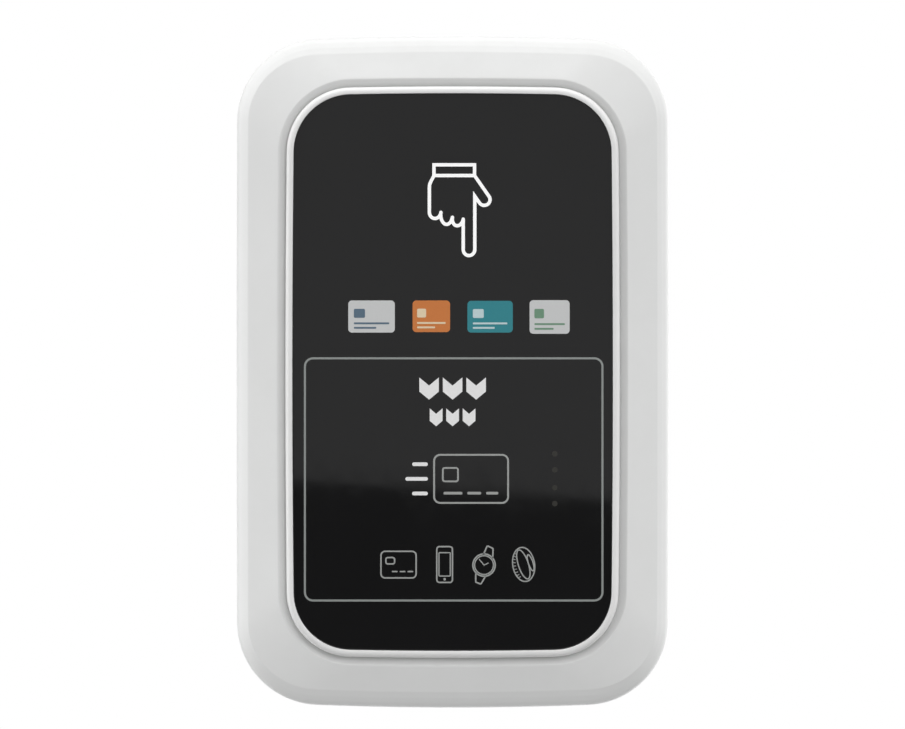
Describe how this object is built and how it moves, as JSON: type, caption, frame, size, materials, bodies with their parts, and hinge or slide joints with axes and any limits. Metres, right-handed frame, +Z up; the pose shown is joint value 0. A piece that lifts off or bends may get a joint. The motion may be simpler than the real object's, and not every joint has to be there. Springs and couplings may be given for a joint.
{
  "type": "ticket validator",
  "caption": "Wall-hung contactless ticket validator: white rounded casing round a black glass tap panel, on a steel wall plate with hook hinge and cam lock.",
  "frame": {"origin": "centre of the wall plate's four bolt holes, on the wall plane, level with the middle of the casing", "axes": "+Z up, +X to the right as seen from the front, the glass faces -Y and the wall is at y = 0"},
  "size_m": [0.129, 0.054, 0.2004],
  "materials": {
    "casing_white": "fine satin texture",
    "bezel_white": "smooth satin",
    "black_glass": "black printed gloss",
    "tape_black": "matt foam tape",
    "seal_black": "matt",
    "steel": "bright zinc",
    "plate_steel": "grey powder coat",
    "brass": "turned, knurled",
    "chassis_grey": "moulded",
    "board_green": "solder mask",
    "copper": "etched copper",
    "ferrite": "matt film",
    "diode_white": "moulded",
    "clear_plastic": "clear polished",
    "tinned_steel": "tinned",
    "chip_black": "moulded epoxy",
    "connector_beige": "moulded nylon",
    "terminal_green": "moulded",
    "film_orange": "flex film",
    "speaker_black": "pressed basket",
    "gland_grey": "moulded nylon",
    "label_silver": "polyester label, blank",
    "lock_chrome": "plated"
  },
  "bodies": {
    "bracket": {"wall_plate": "plate_steel", "rubber_buffers": "seal_black"},
    "lock_core": {"lock_plug": "lock_chrome", "lock_cam": "steel", "cam_screw": "steel"},
    "plunger": {"tamper_plunger": "gland_grey"},
    "validator": {"front_cover": "casing_white", "rear_cover": "casing_white", "bezel_ring": "bezel_white", "front_glass": "black_glass", "glass_tape": "tape_black", "perimeter_seal": "seal_black", "cover_screws": "steel", "threaded_inserts": "brass", "inner_chassis": "chassis_grey", "chassis_screws": "steel", "antenna_board": "board_green", "antenna_coil": "copper", "ferrite_sheet": "ferrite", "led_board": "board_green", "status_leds": "diode_white", "light_guide": "clear_plastic", "main_board": "board_green", "board_standoffs": "brass", "board_screws": "steel", "processor_shield": "tinned_steel", "radio_module": "tinned_steel", "sim_socket": "tinned_steel", "network_socket": "tinned_steel", "power_inductor": "ferrite", "board_connectors": "connector_beige", "circuit_chips": "chip_black", "secure_module_sockets": "chip_black", "capacitors": "tinned_steel", "battery_holder": "chip_black", "backup_battery": "steel", "terminal_block": "terminal_green", "terminal_screws": "steel", "flex_cables": "film_orange", "speaker_gasket": "seal_black", "loudspeaker": "speaker_black", "speaker_screws": "steel", "vent_plug": "gland_grey", "vent_membrane": "diode_white", "tamper_switch": "chip_black", "tamper_spring": "steel", "rear_label": "label_silver", "gland_body": "gland_grey", "gland_dome_nut": "gland_grey", "gland_seal": "seal_black", "gland_locknut": "gland_grey", "lock_body": "lock_chrome", "lock_nut": "steel", "hinge_rod": "steel"}
  },
  "joints": [
    {"name": "dock_swing", "type": "hinge", "parent": "bracket", "child": "validator", "pos_m": [0, -0.007, 0.082], "axis": [-1, 0, 0], "range_deg": [0, 15]},
    {"name": "lock_turn", "type": "hinge", "parent": "validator", "child": "lock_core", "pos_m": [0, -0.021, -0.08], "axis": [0, 0, -1], "range_deg": [0, 90]},
    {"name": "plunger_slide", "type": "slide", "parent": "validator", "child": "plunger", "axis": [0, 1, 0], "range_m": [0, 0.002], "deforming": ["tamper_spring"]}
  ],
  "couplings": [
    {"joint": "plunger_slide", "follows": "dock_swing", "m_per_rad": 0.0075}
  ]
}
